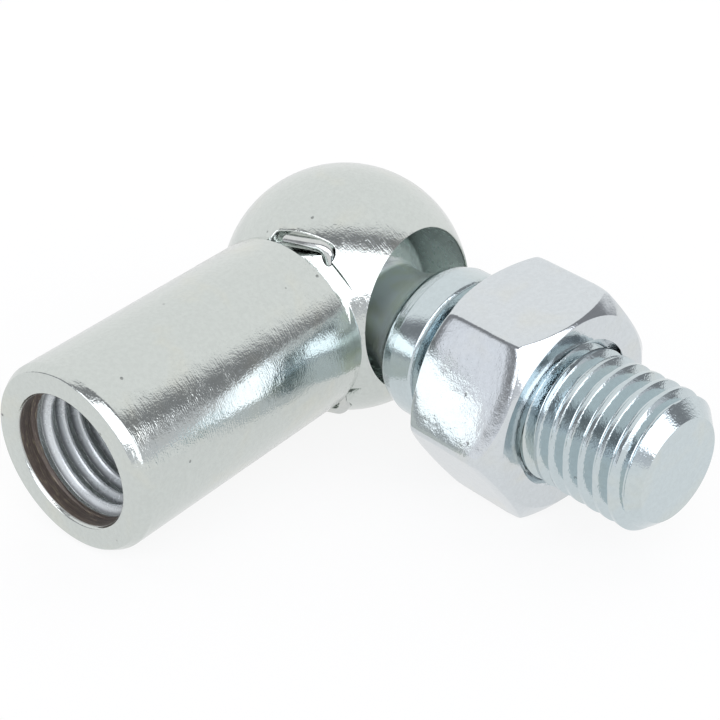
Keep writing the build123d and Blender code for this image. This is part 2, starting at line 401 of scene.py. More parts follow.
class Wiring:
    """Short calls that add the nodes of one tree and join them."""

    def __init__(self, tree):
        self.tree = tree

    def add(self, kind, **options):
        node = self.tree.nodes.new(kind)
        for key, value in options.items():
            setattr(node, key, value)
        return node

    def feed(self, socket, value):
        """Join another node's output to a socket, or set the socket to a plain value."""
        if isinstance(value, bpy.types.NodeSocket):
            self.tree.links.new(value, socket)
        elif value is not None:
            socket.default_value = value

    def calc(self, operation, *values, clamp=False):
        node = self.add("ShaderNodeMath", operation=operation, use_clamp=clamp)
        for socket, value in zip(node.inputs, values):
            self.feed(socket, value)
        return node.outputs[0]

    plus = partialmethod(calc, "ADD")
    minus = partialmethod(calc, "SUBTRACT")
    times = partialmethod(calc, "MULTIPLY")
    times_plus = partialmethod(calc, "MULTIPLY_ADD")
    ratio = partialmethod(calc, "DIVIDE")
    highest = partialmethod(calc, "MAXIMUM")
    lowest = partialmethod(calc, "MINIMUM")

    def vector(self, operation, *values):
        node = self.add("ShaderNodeVectorMath", operation=operation)
        sockets = [s for s in node.inputs if s.name != "Scale"]
        if operation == "SCALE":
            self.feed(node.inputs["Scale"], values[1])
            values = values[:1]
        for socket, value in zip(sockets, values):
            self.feed(socket, value)
        return node.outputs["Value" if operation in ("DOT_PRODUCT", "LENGTH") else "Vector"]

    def combine(self, x, y, z):
        node = self.add("ShaderNodeCombineXYZ")
        for socket, value in zip(node.inputs, (x, y, z)):
            self.feed(socket, value)
        return node.outputs[0]

    def fit(self, value, low, high, to_low=0.0, to_high=1.0, smooth=True):
        """The value carried from the range low to high over to another range, and held at its ends."""
        node = self.add("ShaderNodeMapRange", interpolation_type="SMOOTHSTEP" if smooth else "LINEAR")
        for socket, amount in zip(node.inputs, (value, low, high, to_low, to_high)):
            self.feed(socket, amount)
        return node.outputs[0]

    def noise(self, where, scale, detail=2.0, roughness=0.5, distortion=0.0):
        """Cloudy values round 0.5; where positions are in mm, the scale is in lumps for each mm."""
        node = self.add("ShaderNodeTexNoise")
        self.feed(node.inputs["Vector"], where)
        numbers = {"Scale": scale, "Detail": detail, "Roughness": roughness, "Distortion": distortion}
        for name, value in numbers.items():
            node.inputs[name].default_value = value
        return node.outputs[0]

    def cells(self, where, scale, output="Distance"):
        """Distance to the nearest of many scattered points, or that point's own random colour."""
        node = self.add("ShaderNodeTexVoronoi")
        self.feed(node.inputs["Vector"], where)
        node.inputs["Scale"].default_value = scale
        return node.outputs[output]

    def blend(self, factor, a, b, kind="MIX"):
        """Colour a where the factor is 0 and b where it is 1."""
        node = self.add("ShaderNodeMix", data_type="RGBA", blend_type=kind)
        sockets = [s for s in node.inputs if s.type == "RGBA"]
        self.feed(node.inputs[0], factor)
        for socket, value in zip(sockets, (a, b)):
            if isinstance(value, tuple):
                value = (*value[:3], 1.0)
            self.feed(socket, value)
        return [s for s in node.outputs if s.type == "RGBA"][0]


# ---------------------------------------------------------------- helical thread

THREAD_INPUTS = (
    # name, kind, default
    ("Sides", "Int", SIDES),
    ("Turns", "Int", 10),
    ("Stations", "Int", 28),
    ("Pitch", "Float", 0.002),
    ("First Crest", "Float", 0.0),
    ("Start", "Float", 0.0),
    ("End", "Float", 0.02),
    ("Crest Radius", "Float", 0.008),
    ("Root Radius", "Float", 0.00686),
    ("Crest Flat", "Float", 0.0004),
    ("Flank Width", "Float", 0.0007),
    ("Edge Softness", "Float", 0.06),
    ("Side", "Float", 1.0),
    ("Start Radius", "Float", 0.0065),
    ("Start Slope", "Float", 1.0),
    ("End Radius", "Float", 0.006),
    ("End Slope", "Float", 1.0),
)
PLAIN_INPUTS = ("Edge Softness", "Side", "Start Slope", "End Slope")  # numbers that are not lengths
MERGE_DISTANCE = 4e-6  # metres within which the thread's points become one


def thread_tree():
    """Geometry Nodes tree for a helical thread's surface about local Z, open at both end circles."""
    tree = bpy.data.node_groups.get("Helical Thread")
    if tree:
        return tree
    tree = bpy.data.node_groups.new("Helical Thread", "GeometryNodeTree")
    tree.interface.new_socket("Geometry", in_out="OUTPUT", socket_type="NodeSocketGeometry")
    for name, kind, default in THREAD_INPUTS:
        socket = tree.interface.new_socket(name, in_out="INPUT", socket_type="NodeSocket" + kind)
        socket.default_value = default
    tree.interface.new_socket("Finish", in_out="INPUT", socket_type="NodeSocketMaterial")
    w = Wiring(tree)
    given = w.add("NodeGroupInput").outputs

    # A grid of 1 m by 1 m: X runs round the helix, Y runs across one pitch.
    steps = w.times(given["Sides"], given["Turns"])
    grid = w.add("GeometryNodeMeshGrid")
    grid.inputs["Size X"].default_value = 1.0
    grid.inputs["Size Y"].default_value = 1.0
    w.feed(grid.inputs["Vertices X"], w.plus(steps, 1.0))
    w.feed(grid.inputs["Vertices Y"], w.plus(given["Stations"], 1.0))
    at = w.add("ShaderNodeSeparateXYZ")
    w.feed(at.inputs[0], w.add("GeometryNodeInputPosition").outputs[0])
    column = w.calc("ROUND", w.times(w.plus(at.outputs[0], 0.5), steps))
    row = w.calc("ROUND", w.times(w.plus(at.outputs[1], 0.5), given["Stations"]))
    row = w.ratio(row, given["Stations"])
    turns = w.ratio(column, given["Sides"])
    angle = w.ratio(w.calc("MODULO", column, given["Sides"]), given["Sides"])
    angle = w.times(angle, 2 * math.pi)

    # Height along the axis, held between Start and End.
    first = w.minus(given["First Crest"], w.times(given["Pitch"], 0.5))
    height = w.times_plus(w.plus(turns, row), given["Pitch"], first)
    height = w.highest(w.lowest(height, given["End"]), given["Start"])

    # Flat crest, straight flanks and flat root, with softened corners.
    off_crest = w.times(w.calc("ABSOLUTE", w.minus(row, 0.5)), given["Pitch"])
    down = w.minus(off_crest, w.times(given["Crest Flat"], 0.5))
    down = w.ratio(down, given["Flank Width"])
    down = w.calc("SMOOTH_MIN", down, 1.0, given["Edge Softness"])
    down = w.calc("SMOOTH_MAX", down, 0.0, given["Edge Softness"])
    depth = w.minus(given["Root Radius"], given["Crest Radius"])
    radius = w.times_plus(down, depth, given["Crest Radius"])

    # Cones at both ends: they cut a male thread down and open a female one up.
    edges = [w.times(radius, given["Side"])]
    for name, rise in (
        ("Start", w.minus(height, given["Start"])),
        ("End", w.minus(given["End"], height)),
    ):
        rim = w.times(given[name + " Radius"], given["Side"])
        edges.append(w.times_plus(rise, given[name + " Slope"], rim))
    radius = w.lowest(edges[0], w.lowest(edges[1], edges[2]))
    radius = w.times(radius, given["Side"])

    moved = w.add("GeometryNodeSetPosition")
    w.feed(moved.inputs["Geometry"], grid.outputs[0])
    x, y = w.times(radius, w.calc("COSINE", angle)), w.times(radius, w.calc("SINE", angle))
    w.feed(moved.inputs["Position"], w.combine(x, y, height))
    merged = w.add("GeometryNodeMergeByDistance")
    w.feed(merged.inputs["Geometry"], moved.outputs[0])
    merged.inputs["Distance"].default_value = MERGE_DISTANCE
    real = w.add("GeometryNodeRealizeInstances")
    w.feed(real.inputs[0], merged.outputs[0])
    paint = w.add("GeometryNodeSetMaterial")
    w.feed(paint.inputs["Geometry"], real.outputs[0])
    w.feed(paint.inputs["Material"], given["Finish"])
    w.feed(w.add("NodeGroupOutput").inputs[0], paint.outputs[0])
    return tree


def thread(material, crest_at, start, end, **values):
    """A bmesh of a thread's surface between two heights; lengths in mm."""
    pitch = values["pitch"]
    below = math.ceil((crest_at - start) / pitch + 1)
    first = crest_at - pitch * below
    turns = math.ceil((end - first) / pitch + 1)
    values.update(first_crest=first, start=start, end=end, turns=turns)
    tree = thread_tree()
    holder = bpy.data.objects.new("thread", bpy.data.meshes.new("thread"))
    bpy.context.scene.collection.objects.link(holder)
    modifier = holder.modifiers.new("thread", "NODES")
    modifier.node_group = tree
    sockets = {s.name: s for s in tree.interface.items_tree if s.item_type == "SOCKET" and s.in_out == "INPUT"}
    for key, value in values.items():
        name = key.replace("_", " ").title()
        socket = sockets[name]
        if socket.socket_type == "NodeSocketInt":
            modifier[socket.identifier] = int(value)
        else:
            modifier[socket.identifier] = float(value) * (1.0 if name in PLAIN_INPUTS else MM)
    modifier[sockets["Finish"].identifier] = material
    data = plain_mesh(holder)
    mesh = bmesh.new()
    mesh.from_mesh(data)
    bpy.data.objects.remove(holder)
    bpy.data.meshes.remove(data)
    return mesh


# ---------------------------------------------------------------- finishes

# How strongly each piece's plating shows its patterns, and how rough it is.
PATTERNS = {
    "socket": dict(grain=1.0, turning=1.9, waves=1.0, roughness=0.09),
    "stud": dict(grain=0.9, turning=0.8, waves=0.7, roughness=0.09),
    "nut": dict(grain=0.45, turning=0.3, waves=0.9, roughness=0.08),
    "wire": dict(grain=0.5, turning=0.0, waves=0.3, roughness=0.14),
}


def plating(name, tint, other, origin, axis, change=None):
    """Bright zinc plating over a piece turned about an axis through an origin in mm.

    Grain breaks reflections up finely, waves bend them and turning marks run round the axis.
    A change gives some of the piece's surfaces a look of their own.
    """
    grain, turning, waves, roughness = PATTERNS[name].values()
    material = bpy.data.materials.new("zinc_" + name)
    material.use_nodes = True
    w = Wiring(material.node_tree)
    shader = material.node_tree.nodes["Principled BSDF"]
    shader.inputs["Metallic"].default_value = 1.0
    spot = w.vector("SCALE", w.add("ShaderNodeTexCoord").outputs["Object"], 1 / MM)
    spot = w.vector("SUBTRACT", spot, tuple(origin))
    along = w.vector("DOT_PRODUCT", spot, tuple(axis))
    radial = w.vector("SUBTRACT", spot, w.vector("SCALE", w.combine(*axis), along))
    radius = w.vector("LENGTH", radial)

    # Patterns: fine grain, small dents, slow waves, turning marks that come and go, and a few pits.
    fine = w.noise(spot, scale=5.0, detail=1.0)
    elsewhere, dent_edge = (31.0, 17.0, 5.0), (0.53, 0.72)
    dents = w.fit(w.noise(w.vector("ADD", spot, elsewhere), scale=2.8, detail=1.0), *dent_edge)
    broad = w.noise(spot, scale=0.55)
    around, across, patch_edge, faint = 0.8, 6.0, (0.35, 0.65), 0.35  # the marks are long round the axis
    squeezed = w.vector("SCALE", w.combine(*axis), w.times(along, across))
    marks = w.noise(w.vector("ADD", w.vector("SCALE", spot, around), squeezed), scale=1.0, detail=1.5)
    marks = w.times(marks, w.fit(w.noise(spot, scale=0.3), *patch_edge, faint, 1.0))
    pits_per_mm, pit_edge, chosen = 0.42, (0.10, 0.05), (0.8, 0.86)  # only some of the points become pits
    picked = w.vector("DOT_PRODUCT", w.cells(spot, pits_per_mm, "Color"), (1.0, 0.0, 0.0))
    pits = w.times(w.fit(w.cells(spot, pits_per_mm), *pit_edge), w.fit(picked, *chosen))

    # Height of the surface, in mm.
    grain_height, dent_depth, wave_height = 0.014 * grain, 0.004 * grain, 0.035 * waves
    mark_height, pit_depth = 0.012 * turning, 0.03
    height = w.times(fine, grain_height)
    height = w.times_plus(dents, -dent_depth, height)
    height = w.times_plus(broad, wave_height, height)
    height = w.times_plus(marks, mark_height, height)
    height = w.times_plus(pits, -pit_depth, height)

    # Colour: a little of the other tint in clouds, darker grain and pits.
    cloud_edge, most_other, darkest, palest, pit_shade = (0.5, 0.75), 0.2, 0.97, 1.02, 0.5
    cloud = w.noise(spot, scale=0.16, detail=3.0, roughness=0.55, distortion=0.4)
    base = w.blend(w.fit(cloud, *cloud_edge, 0.0, most_other), tint, other)
    mottle = w.fit(w.noise(spot, scale=1.9, detail=4.0, roughness=0.7), *patch_edge, darkest, palest)
    grey = w.add("ShaderNodeCombineColor")
    shadowed = w.minus(mottle, w.times(pits, pit_shade))
    for socket in grey.inputs:
        w.feed(socket, shadowed)
    base = w.blend(1.0, base, grey.outputs[0], "MULTIPLY")
    smear, smoothest, roughest = (0.3, 0.7), 0.75 * roughness, 1.45 * roughness
    rough = w.fit(w.noise(spot, scale=0.9, detail=4.0, roughness=0.65), *smear, smoothest, roughest)

    if change:
        base, rough, height, metal = change(w, along, radius, spot, base, rough, height)
        w.feed(shader.inputs["Metallic"], metal)
    w.feed(shader.inputs["Base Color"], base)
    w.feed(shader.inputs["Roughness"], rough)
    bump = w.add("ShaderNodeBump")
    bump.inputs["Strength"].default_value = 1.0
    bump.inputs["Distance"].default_value = MM
    w.feed(bump.inputs["Height"], height)
    w.feed(shader.inputs["Normal"], bump.outputs[0])
    return material


def inside_look(look, size):
    """How the socket's hollows look: brown unplated steel in the plain ring, duller plating deeper in, with painted
    light and shade.
    """
    mouth, depth, seat = size.lip_radius, size.ring_depth, size.bore_radius
    bright_steel = tuple(2.6 * c for c in look.bare_steel)

    # Soft edges: each look begins at a pair's first number, in mm, and is full at its second.
    ring_wall, ring_crests = (mouth + 0.42, mouth + 0.32), (mouth - 0.75, mouth - 0.6)
    ring_front, ring_back, ragged = (0.22, 0.5), (-0.1, 0.1), 0.35
    hole_wall, hole_front, roots = (mouth + 0.2, mouth), (depth, depth + 0.6), (mouth - 0.45, mouth)
    hole_end = (33.0, 32.0)  # short of the head's far side
    seat_wall, seat_end = (seat + 0.12, seat + 0.02), (14.6, 14.3)

    # What each look does: its share of the colour, and what it adds to roughness, height and loss of metal.
    hole_share, seat_share, dull_rough, ring_rough, line_height = 0.9, 0.8, 0.16, 0.36, 0.04
    dull_relief, dull_loss, hole_loss, ring_loss = 0.1, 0.4, 0.25, 0.85

    def change(w, along, radius, spot, base, rough, height):
        # The ring: between its wall and the thread's crests, from the lip to a ragged edge past its depth.
        wobble = w.noise(spot, scale=1.3, detail=3.0, roughness=0.6)
        end = w.times_plus(w.minus(wobble, 0.5), ragged, depth + 0.55)
        sides = w.times(w.fit(radius, *ring_wall), w.fit(radius, *ring_crests))
        ends = w.times(w.fit(along, *ring_front), w.fit(w.minus(end, along), *ring_back))
        ring = w.times(sides, ends)
        fine = dict(scale=1.0, detail=4.0, roughness=0.7)
        lines = w.noise(w.combine(w.times(along, 8.0), w.times(wobble, 1.5), 0.0), **fine)
        streaks = w.vector("ADD", w.vector("SCALE", spot, 0.7), w.combine(w.times(along, 7.0), 0.0, 0.0))
        streaks = w.fit(w.noise(streaks, **fine), 0.52, 0.68, 0.0, 0.8)
        brown = w.blend(w.fit(lines, 0.35, 0.7), look.bare_steel, bright_steel)
        brown = w.blend(streaks, brown, look.bare_streaks)

        # The tapped hole behind the ring: painted shade darkens the thread's roots and painted light makes its
        # crests pale.
        deep = w.times(w.fit(radius, *hole_wall), w.fit(along, *hole_front))
        deep = w.times(deep, w.fit(along, *hole_end))
        tapped = w.blend(w.fit(radius, *roots), look.inner_crests_painted_light, look.inner_roots_painted_shade)

        # The seat for the ball: the bore's wall and its closed end, coloured a greenish grey that is painted shade
        # and reflection.
        from_ball = w.vector("SUBTRACT", spot, tuple(BALL_CENTRE))
        from_bore = w.vector("MULTIPLY", from_ball, (1.0, 0.0, 1.0))
        bore = w.fit(w.vector("LENGTH", from_bore), *seat_wall)
        bore = w.times(bore, w.fit(w.vector("LENGTH", from_ball), *seat_end))

        # Painted light and shade: pale crests and dark roots in the tapped hole.
        base = w.blend(w.times(deep, hole_share), base, tapped)
        # Painted shade and reflection: greenish grey over the ball's seat.
        base = w.blend(w.times(bore, seat_share), base, look.seat_zinc)
        base = w.blend(ring, base, brown)
        dull = w.highest(deep, bore)
        rough = w.times_plus(dull, dull_rough, w.times_plus(ring, ring_rough, rough))
        height = w.times(height, w.fit(dull, 0.0, 1.0, 1.0, dull_relief))
        height = w.times_plus(w.times(ring, lines), line_height, height)
        loss = w.highest(w.times(ring, ring_loss), w.times_plus(deep, hole_loss, w.times(dull, dull_loss)))
        metal = w.minus(1.0, loss, clamp=True)
        return base, rough, height, metal

    return change


def neck_look(look, size):
    """How the stud's neck and ball look: duller plating with plain turning marks, painted greenish light on the neck
    and a ball painted paler.
    """
    ball_end, flare_start, neck_side = (7.6, 6.6), (16.2, 15.4), (size.neck_radius + 2.9, size.neck_radius + 2.0)
    neck_share, ball_share, neck_rough, mark_height, neck_loss, ball_loss = 0.85, 0.8, 0.14, 0.035, 0.35, 0.15

    def change(w, along, radius, spot, base, rough, height):
        ends = w.times(w.fit(along, *reversed(ball_end)), w.fit(along, *flare_start))
        neck = w.times(w.fit(radius, *neck_side), ends)
        turned = w.combine(w.times(along, 5.0), w.times(radius, 5.0), 0.0)
        turned = w.noise(turned, scale=1.0, detail=3.0, roughness=0.7)
        # Painted light: greenish patches on the neck stand in for the tinted light under the socket.
        tinted_light = w.blend(w.fit(w.noise(spot, scale=0.35), 0.4, 0.65), look.neck_zinc, look.neck_painted_tint)
        base = w.blend(w.times(neck, neck_share), base, tinted_light)
        rough = w.times_plus(neck, neck_rough, rough)
        height = w.times_plus(w.times(neck, turned), mark_height, height)
        ball = w.fit(along, *ball_end)
        # Painted light: the ball is painted paler for the bright reflections on it.
        base = w.blend(w.times(ball, ball_share), base, look.ball_zinc)
        metal = w.minus(1.0, w.times_plus(ball, ball_loss, w.times(neck, neck_loss)))
        return base, rough, height, metal

    return change


# ---------------------------------------------------------------- pieces


def prism(points, rows):
    """A closed cutter: the plan outline at each row's heights, closed at both ends.

    Every row is a pair: how far the outline is pushed outwards, and a height or a function of (x, y).
    """
    count = len(points)
    mesh = bmesh.new()
    middle = sum((Vector(p) for p in points), Vector((0, 0))) / count
    rings = []
    for push, level in rows:
        ring = []
        for i, point in enumerate(points):
            before, after = Vector(points[i - 1]), Vector(points[(i + 1) % count])
            out = Vector((after.y - before.y, before.x - after.x)).normalized()
            if out.dot(Vector(point) - middle) < 0:
                out = -out
            x, y = Vector(point) + out * push
            ring.append((x, y, level(x, y) if callable(level) else level))
        rings.append(ring)
    ends = skin(mesh, rings)
    mesh.faces.new(reversed(ends[0]))
    mesh.faces.new(ends[-1])
    return mesh


def leg_spot(clip):
    """Where the clip's straight leg crosses the middle plane."""
    x = BALL_CENTRE.x - clip.leg_reach * math.cos(clip.leg_angle)
    return x, -clip.leg_reach * math.sin(clip.leg_angle)


class BALLJOINT_OT_socket(bpy.types.Operator):
    """Build the socket: shank with tapped hole, hollow head, pockets and reliefs"""

    bl_idname = "balljoint.socket"
    bl_label = "Build Socket"

    def execute(self, context):
        size = settings(context, "joint_socket")
        clip = settings(context, "joint_clip")
        screw = settings(context, "joint_thread")
        look = settings(context, "joint_finishes")
        inside = inside_look(look, size)
        zinc = plating("socket", look.socket_zinc, look.straw, (0, 0, 0), SHANK_AXIS, inside)
        body = self.turned(size, screw, zinc)
        cutters = [self.seat(size), *self.clip_room(size, clip), *self.reliefs(size)]
        cut(body, cutters)
        shade(body.data)
        finish(body, zinc, "ball_socket", "socket")
        return {"FINISHED"}

    def turned(self, size, screw, zinc):
        """The turned body, from the drill point out of the hole, along the shank and over the head."""
        drill_half_angle, run_out, slack = math.radians(59), 0.9, 0.05
        first_crest, crest_flat = 3.55, 0.32
        middle = BALL_CENTRE.x
        neck, head, fillet = size.neck_radius, size.head_radius, size.head_fillet
        drill = size.tap_depth + screw.minor_radius / math.tan(drill_half_angle)
        inner = screw.inner_root + slack
        outline = [(0, drill), (screw.minor_radius, size.tap_depth)]
        outline += [(screw.minor_radius, size.thread_depth + run_out), (inner, size.thread_depth)]
        body = spin(outline)
        female = dict(
            pitch=screw.pitch,
            crest_radius=screw.minor_radius,
            root_radius=screw.inner_root,
            crest_flat=crest_flat,
            flank_width=(screw.inner_root - screw.minor_radius) * FLANK,
            side=-1,
            start_radius=inner,
            start_slope=0.8,
            end_radius=inner,
            stations=20,
        )
        join(body, thread(zinc, first_crest, size.ring_depth, size.thread_depth, **female))
        fillet_at = middle - math.sqrt((head + fillet) ** 2 - (neck + fillet) ** 2)
        touch = math.degrees(math.atan2(fillet_at - middle, neck + fillet))
        lip_depth, lip_flare, shoulder_cone = 0.42, 0.22, 0.05
        corners = [
            # (r, z), rounding
            ((inner, size.ring_depth), 0),
            ((size.lip_radius, lip_depth), 0.12),
            ((size.lip_radius + lip_flare, 0.0), 0.25),
            ((size.shank_radius - size.end_chamfer_depth, 0.0), 0.3),
            ((size.shank_radius, size.end_chamfer), 0.9),
            ((size.shank_radius, size.shank_length), 0.14),
            ((neck, size.shank_length + shoulder_cone), 0.08),
            ((neck, fillet_at), 0),
        ]
        outline = rounded(*zip(*corners))
        outline += arc(neck + fillet, fillet_at, fillet, 180, 180 + touch, 8)[1:]
        outline += arc(0, middle, head, touch, 90, 2.0)[1:-1] + [(0, middle + head)]
        join(body, spin(outline))
        return to_object("socket_body", body, along_shank())

    def seat(self, size):
        """Cutter for the ball's seat: a half sphere and a straight bore with a rounded lip."""
        head, bore, lip = size.head_radius, size.bore_radius, size.bore_lip
        mouth = math.sqrt(head**2 - (bore + lip * 0.5) ** 2)
        lip_curve = ((0, -0.8), (0.06, -0.45), (0.25, -0.15), (0.6, 0.1), (1.2, 0.25))  # in lips: out, up
        outline = [(0, -bore)] + arc(0, 0, bore, -90, 0, 2.5)[1:]
        outline += [(bore + out * lip, mouth + up * lip) for out, up in lip_curve]
        outline += [(bore + 1.2 * lip, head + 1), (0, head + 1)]
        place = Matrix.Translation(BALL_CENTRE * MM) @ Matrix.Rotation(math.radians(90), 4, "X")
        return to_object("seat", spin(outline), place)

    def clip_room(self, size, clip):
        """Cutters for the cross hole and, above and below it, a pocket for each tail with softened edges."""
        hole_gap, hole_sides, soft_foot, least_depth = 0.1, 48, 0.12, 0.4
        head, middle = size.head_radius, BALL_CENTRE.x
        leg_x, leg_y = leg_spot(clip)
        wide = clip.wire_radius + hole_gap
        leg = spin([(0, -head), (wide, -head), (wide, head), (0, head)], hole_sides)
        cutters = [to_object("leg", leg, Matrix.Translation(Vector((leg_x, leg_y, 0)) * MM))]

        # The pocket's plan: a slot round the tail, opened out to the shank's shoulder on that side.
        half = clip.wire_radius + clip.pocket_gap
        run = clip.bend_radius + clip.tail_length + clip.pocket_spare
        shares = (0.2, 0.4, 0.6, 0.8)
        plan = arc(0, 0, half, 180, 360, 10) + [(half, t * run) for t in shares]
        plan += arc(0, run, half, 0, 180, 10) + [(-half, t * run) for t in reversed(shares)]
        c, s = math.cos(clip.tail_turn), math.sin(clip.tail_turn)
        shoulder, shoulder_side, shift = size.shank_length + 0.15, -0.3, 0.1
        plan = [
            (shoulder if x < shoulder_side else leg_x + c * (x - shift) - s * y, leg_y + s * x + c * y)
            for x, y in plan
        ]
        foot = clip.tail_rise - half
        lowest = foot + least_depth

        def over(lift):
            """A height above the head's surface, and never below the pocket's foot."""
            return lambda x, y: max(math.sqrt(max(head**2 - (x - middle) ** 2 - y**2, 0.0)), lowest) + lift

        # The pocket's rim opens out softly over the last 0.2 mm below the head's surface.
        rows = [(-soft_foot, foot), (0.0, foot + soft_foot), (0.0, over(-0.2))]
        rows += [(0.03, over(-0.06)), (0.08, over(-0.01)), (0.16, over(0.02)), (0.16, head + 1)]
        for flip in (1, -1):
            cutters.append(to_object("pocket", prism(plan, rows), Matrix.Scale(flip, 4, (0, 0, 1))))
        return cutters

    def reliefs(self, size):
        """Cutters for the two reliefs milled beside the clip's ends, with sloping floors."""
        head, past_shoulder = size.head_radius, 0.25
        low = size.shank_length + past_shoulder
        high = low + size.relief_width
        for angle, floor, rise in (
            (size.upper_relief, size.upper_floor, size.upper_rise),
            (size.lower_relief, size.lower_floor, size.lower_rise),
        ):
            plan = [(low, -head - 1), (high, -head - 1), (high, -floor - rise), (low, -floor)]
            yield to_object("relief", prism(plan, [(0, -head), (0, head)]), Matrix.Rotation(-angle, 4, "X"))


class BALLJOINT_OT_clip(bpy.types.Operator):
    """Build the retaining clip: one spring wire with a straight leg and two bent tails"""

    bl_idname = "balljoint.clip"
    bl_label = "Build Retaining Clip"

    def execute(self, context):
        clip = settings(context, "joint_clip")
        look = settings(context, "joint_finishes")
        leg_x, leg_y = leg_spot(clip)
        tail = Vector((-math.sin(clip.tail_turn), math.cos(clip.tail_turn), 0))
        corner = Vector((leg_x, leg_y, 0))
        bend = clip.bend_radius
        upper = [(0, clip.tail_rise - bend)] + arc(bend, clip.tail_rise - bend, bend, 180, 90, 9)[1:]
        upper.append((bend + clip.tail_length, clip.tail_rise))
        flat = [(r, -z) for r, z in reversed(upper)] + upper
        path = [corner + tail * r + Vector((0, 0, z)) for r, z in flat]
        aside = tail.cross(Vector((0, 0, 1)))
        mesh = bmesh.new()
        wire_sides = 28
        skin(mesh, tube_rings(path, aside, clip.wire_radius, wire_sides))
        zinc = plating("wire", look.clip_zinc, look.straw, corner, (0, 0, 1))
        piece = to_object("clip_wire", mesh)
        finish(piece, zinc, "retaining_clip", "socket")
        return {"FINISHED"}


def tube_rings(path, aside, radius, sides):
    """Rings round a path that lies in a plane square to aside, with softly rounded ends."""
    dome = 0.62  # length of a rounded end, in radii
    rings = []
    last = len(path) - 1
    for i, point in enumerate(path):
        ahead = (path[min(i + 1, last)] - path[max(i - 1, 0)]).normalized()
        up = aside.cross(ahead)
        caps = [(0.0, 1.0)]
        if i in (0, last):
            caps = [(-dome + dome * math.sin(t), math.cos(t)) for t in np.linspace(math.pi / 2, 0, 7)]
            if i == last:
                caps.reverse()
        for back, share in caps:
            centre = point + ahead * radius * (-back - dome if i == 0 else back + dome if i == last else 0.0)
            if share < TINY:
                rings.append([tuple(centre)])
                continue
            angles = round_steps(sides)
            rings.append([tuple(centre + (aside * math.cos(a) + up * math.sin(a)) * radius * share) for a in angles])
    return rings


class BALLJOINT_OT_stud(bpy.types.Operator):
    """Build the ball stud: ball, swept neck, collar and threaded stem"""

    bl_idname = "balljoint.stud"
    bl_label = "Build Ball Stud"

    def execute(self, context):
        size = settings(context, "joint_stud")
        screw = settings(context, "joint_thread")
        look = settings(context, "joint_finishes")
        neck = neck_look(look, size)
        zinc = plating("stud", look.stud_zinc, look.straw, BALL_CENTRE, STUD_AXIS, neck)
        body = spin(self.outline(size))
        start, tip = size.seat_at + size.undercut_length, size.seat_at + size.stem_length
        male = dict(
            pitch=screw.pitch,
            crest_radius=screw.major_radius,
            root_radius=screw.root_radius,
            crest_flat=screw.crest_flat,
            flank_width=(screw.major_radius - screw.root_radius) * FLANK,
            side=1,
            start_radius=size.undercut_radius,
            end_radius=size.tip_radius,
            end_slope=(screw.major_radius - size.tip_radius) / size.tip_chamfer,
        )
        join(body, thread(zinc, screw.crest_at, start, tip, **male))
        join(body, spin([(size.tip_radius, tip), (size.tip_radius - 0.5, tip), (0, tip)]))
        piece = to_object("stud_body", body, along_stud())
        finish(piece, zinc, "ball_stud", "stud")
        return {"FINISHED"}

    def outline(self, size):
        """The turned outline from the ball to the undercut's end."""
        ball, neck, fillet = size.ball_radius, size.neck_radius, size.neck_fillet
        fillet_at = math.sqrt((ball + fillet) ** 2 - (neck + fillet) ** 2)
        touch = math.degrees(math.atan2(fillet_at, neck + fillet))
        points = [(0, -ball)] + arc(0, 0, ball, -90, touch, 3)[1:]
        points += arc(neck + fillet, fillet_at, fillet, 180 + touch, 180, 12)[1:]

        # The sweep climbs until the shoulder and its cone just reach the collar's rear edge.
        lean = 12.0  # slope of the cone, in degrees
        step, break_edge = 0.15, 0.05  # how far the cone ends below the collar, and before and past its rear
        flare, collar, seat = size.flare_radius, size.collar_radius, size.seat_at
        rear = seat - size.collar_length
        bulge, cone = size.shoulder_radius, size.shoulder_length
        edge_r, edge_z = collar - step - cone * math.tan(math.radians(lean)), rear - break_edge - cone
        across = flare - edge_r + neck + bulge * math.cos(math.radians(lean))
        rise = math.degrees(math.acos(across / (flare + bulge)))
        c, s = math.cos(math.radians(rise)), math.sin(math.radians(rise))
        shoulder_z = edge_z + bulge * math.sin(math.radians(lean))
        points += arc(neck + flare, shoulder_z - (bulge + flare) * s, flare, 180, 180 - rise, 3)
        points += arc(neck + flare - (flare + bulge) * c, shoulder_z, bulge, -rise, -lean, 6)[1:]
        front_edge = 0.35
        corners = [
            # (r, z), rounding
            ((collar - step, rear - break_edge), 0),
            ((collar, rear + break_edge), 0.15),
            ((collar, seat - front_edge), 0.25),
            ((collar - front_edge, seat), 0.25),
            ((size.undercut_radius, seat), 0.2),
            ((size.undercut_radius, seat + size.undercut_length), 0),
        ]
        return points + rounded(*zip(*corners))[1:]


